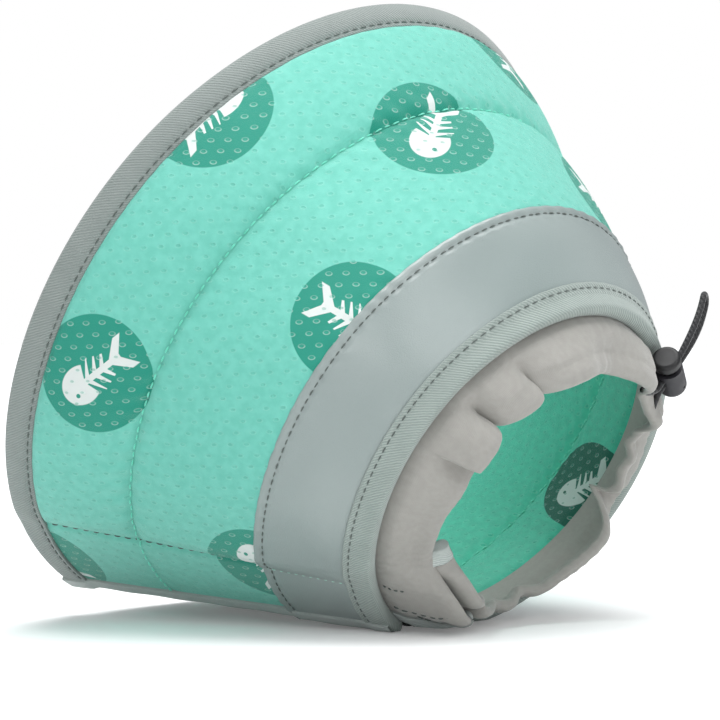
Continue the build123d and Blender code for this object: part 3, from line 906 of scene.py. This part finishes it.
stitch_cuff("stitches_cuff_crease", 0.42, 0.62, 21, 20.5, 4)
for turn in range(4):
    zigzag = 0.09 * (turn % 2)
    stitch_cuff(f"bartack_{turn}", 0.60 + zigzag, 0.69 - zigzag, 9.5 - 2.2 * turn, 7.3 - 2.2 * turn, 2, 0.9)
stitch_cuff("stitches_cuff_end", 0.44, 0.98, 11.5, 11.5, 8)

# Drawcord. A 2 mm black braided polyester cord. It leaves the cuff's hem, runs through the cord lock,
# stands out behind it as one free loop, and goes back through the lock into the hem.
LOCK_REACH = 7.5
LOCK_LIFT = 2.1
OUTLET = 10.0
BARREL = 8.8
HALF = 1.08
slide = joints["cord_lock_slide"]
press = joints["plunger_press"]
lock_origin = Vector(lying(-LOCK_REACH, LOCK_LIFT, LOCK_ANGLE) + stand)
lock_x = Vector(slide["axis"]).normalized()
lock_z = -Vector(press["axis"]).normalized()
lock_z = (lock_z - lock_x * lock_z.dot(lock_x)).normalized()
lock_y = lock_z.cross(lock_x)
STRAND = [
    (-7.5, 0, HALF), (-BARREL * 0.62, 0.1, HALF), (BARREL * 0.62, 0, HALF), (12.6, 0.5, 1.9),
    (19.6, 1.6, 2.4), (25.2, 3.2, 2.3), (29.4, 4.8, 2.4),
]


def hem_point(angle, onward):
    """Point of the hem's bore, and straight on from it."""
    centre = lying(-HEM_REACH, -HEM_DEPTH, angle) + stand
    way = lying(-HEM_REACH, -HEM_DEPTH, angle + 0.5) - lying(-HEM_REACH, -HEM_DEPTH, angle - 0.5)
    return Vector(centre) + Vector(way / np.linalg.norm(way)) * onward


def in_lock(x, y, z):
    """Point of the lock's frame in the CAD frame."""
    return lock_origin + lock_x * x + lock_y * y + lock_z * z


away = [in_lock(x, y, z) for x, y, z in STRAND]
back = [in_lock(x, y, -z) for x, y, z in reversed(STRAND)]
leaving = [hem_point(LOCK_ANGLE - OUTLET, onward) for onward in (0, 3.0)]
arriving = [hem_point(LOCK_ANGLE + OUTLET, -onward) for onward in (3.0, 0)]
route = [*leaving, *away, *back, *arriving]
line = bpy.data.curves.new("drawcord_loop_line", "CURVE")
line.dimensions = "3D"
line.resolution_u = 24
line.bevel_depth = 0.001
line.bevel_resolution = 6
spline = line.splines.new("NURBS")
spline.points.add(len(route) - 1)
for point, there in zip(spline.points, route):
    point.co = (*(there / 1000), 1)
spline.order_u = 3
spline.use_endpoint_u = True

# Black braid is matt, with slanting plaits and a rough fibre, drawn coarse, that breaks up its face.
PLAIT = 2.4166
FIBRE = 0.6667
braid, tree = new_material("cord_black_braid")
on_cord = node(tree, "TexCoord", out="Object")
plaits = {"Vector": on_cord, "Scale": 1000 * 2 * WAVE / PLAIT, "Distortion": 1.0}
plaits = node(tree, "TexWave", plaits, out=1, bands_direction="DIAGONAL")
fibre = node(tree, "TexVoronoi", {"Vector": on_cord, "Scale": 1000 / FIBRE})
colour = coated(tree, hue("0D0D0F"), (plaits, 1.0, hue("1D1D20")))
relief = raised(tree, (plaits, 0.12), (fibre, 0.1))
finish(tree, Base_Color=colour, Roughness=0.6, Normal=relief, Sheen_Weight=0.3, Sheen_Roughness=0.4)
line.materials.append(braid)
loop = bpy.data.objects.new("drawcord", line)
bpy.context.collection.objects.link(loop)
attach(loop, "rear_shell")
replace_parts(loop, "drawcord_loop")

# Cord lock. A moulded barrel with a plunger that a steel spring pushes up, so that it grips the cord. All
# three are solids of the frame, and only take their finish here.
SPARK = 0.4545
SCUFF = 6.25
STEEL_GRAIN = 0.3333


def moulded(name, colour, roughness, spark_height):
    """Plastic moulded in a spark-eroded tool. The real texture of 0.1 mm is drawn 0.45 mm coarse, to show."""
    made, tree = new_material(name)
    on_part = node(tree, "TexCoord", out="Object")
    sparks = node(tree, "TexNoise", {"Vector": on_part, "Scale": 1000 / SPARK, "Detail": 2.0})
    scuffs = node(tree, "TexNoise", {"Vector": on_part, "Scale": 1000 / SCUFF, "Detail": 4.0})
    rough = (scuffs, 0.35, 0.7, roughness, roughness + 0.14)
    rough = node(tree, "MapRange", rough, interpolation_type="SMOOTHSTEP")
    finish(tree, Base_Color=colour, Roughness=rough, Normal=raised(tree, (sparks, spark_height)))
    return made


def painted(part, material):
    """Gives a solid of the frame its finish."""
    obj = frame["nodes"][part]
    obj.data.materials.clear()
    obj.data.materials.append(material)


# Acetal, which such locks are moulded in, has a dense satin face. It is charcoal on the barrel and a
# smoother black on the plunger, with soft highlights that handling has made uneven.
painted("cord_lock_barrel", moulded("plastic_charcoal_satin", hue("232227"), 0.42, 0.03))
painted("cord_lock_plunger", moulded("plastic_black_gloss", hue("0E0E10"), 0.4, 0.015))

# Drawn spring steel is bright, with a grain that makes its highlights uneven.
steel, tree = new_material("spring_steel_drawn")
on_part = node(tree, "TexCoord", out="Object")
drawn = node(tree, "TexNoise", {"Vector": on_part, "Scale": 1000 / STEEL_GRAIN})
rough = node(tree, "MapRange", (drawn, 0.3, 0.7, 0.25, 0.4), interpolation_type="SMOOTHSTEP")
finish(tree, Base_Color=hue("9A9CA0"), Roughness=rough, Metallic=1.0)
painted("cord_lock_spring", steel)

# Hook and loop tape. Two strips of woven nylon pile that hold the collar shut, sewn inside the closing
# flap and outside the underlap. Both are solids of the frame.
TUFT = 0.625

# Nylon pile is a matt fuzz, with painted shade between its tufts where the same noise sets it lower. The real
# hooks are finer and drawn this coarse.
pile, tree = new_material("hook_and_loop_pile")
on_part = node(tree, "TexCoord", out="Object")
tuft_and_shade = node(tree, "TexNoise", {"Vector": on_part, "Scale": 1000 / TUFT, "Detail": 4.0})
# Painted shade: the pile is darker where its tufts are low.
colour = coated(tree, hue("7C8582"), (tuft_and_shade, 1.0, hue("A9B0AD")))
finish(tree, Base_Color=colour, Roughness=0.9, Normal=raised(tree, (tuft_and_shade, 0.8)), Sheen_Weight=0.5)
painted("hook_tape", pile)
painted("loop_tape", pile)

# Floor. A plain sheet of pale paper, that fades into white away from the collar and keeps its shadow. The
# glow that does this is seen by the camera alone and lights nothing.
FLOOR_SIZE = 30  # metres
backdrop, tree = new_material("studio_floor")
paper = node(tree, "BsdfDiffuse", {"Color": (0.93, 0.93, 0.93, 1)})
far = node(tree, "VectorMath", (node(tree, "TexCoord", out="Object"),), out=1, operation="LENGTH")
strength = node(tree, "MapRange", (far, 0.25, 1.6, 0.14, 0.9), interpolation_type="SMOOTHSTEP")
glow = node(tree, "Emission", {"Color": (1, 1, 1, 1), "Strength": strength})
seen = node(tree, "LightPath", out="Is Camera Ray")
nothing = node(tree, "Emission", {"Strength": 0.0})
whitened = node(tree, "AddShader", (paper, node(tree, "MixShader", (seen, nothing, glow))))
node(tree, "OutputMaterial", {"Surface": whitened})
bpy.ops.mesh.primitive_plane_add(size=FLOOR_SIZE, location=(0, 0, 0))
floor = bpy.context.object
floor.name = "floor"
floor.data.materials.append(backdrop)

# Light. A soft studio at a plain level: one large softbox overhead, weak fills from the front and the
# right, and a small one that draws the highlight on the neck band.
scene = bpy.context.scene
scene.view_settings.view_transform = "Standard"
world = bpy.data.worlds.new("soft_studio")
world.use_nodes = True
scene.world = world
tree = world.node_tree
tree.nodes.clear()
ambient = node(tree, "Background", {"Color": (0.93, 0.97, 1.0, 1), "Strength": 0.45})
white = node(tree, "Background", {"Color": (1, 1, 1, 1), "Strength": 1.0})
seen = node(tree, "LightPath", out="Is Camera Ray")
node(tree, "OutputWorld", {"Surface": node(tree, "MixShader", (seen, ambient, white))})


def softbox(name, position, target, size, power):
    """Square area lamp that faces a point."""
    lamp = bpy.data.lights.new(name, "AREA")
    lamp.size = size
    lamp.energy = power
    made = bpy.data.objects.new(name, lamp)
    made.location = position
    made.rotation_euler = (Vector(target) - Vector(position)).to_track_quat("-Z", "Y").to_euler()
    bpy.context.collection.objects.link(made)


softbox("overhead", (0.1, 0.0, 1.35), (0, 0, 0.05), 1.2, 21.5)
softbox("front_fill", (-0.5, -1.4, 0.8), (0, 0, 0.08), 0.8, 2.6)
softbox("right_fill", (1.3, -0.3, 0.7), (0, 0, 0.08), 0.7, 4.8)
softbox("band_highlight", (0.72, -1.1, 0.5), (0.05, -0.05, 0.09), 0.3, 1.5)

# Camera. A long lens, nearly level and at the height of the collar's middle, that looks in at its neck
# from the front and the right.
lens = bpy.data.cameras.new("camera")
lens.lens = 150
lens.sensor_width = 36
camera = bpy.data.objects.new("camera", lens)
camera.location = (0.5565, -0.7361, 0.0878)
camera.rotation_euler = (radians(90 - 0.5), 0, radians(37.42))
bpy.context.collection.objects.link(camera)
scene.camera = camera
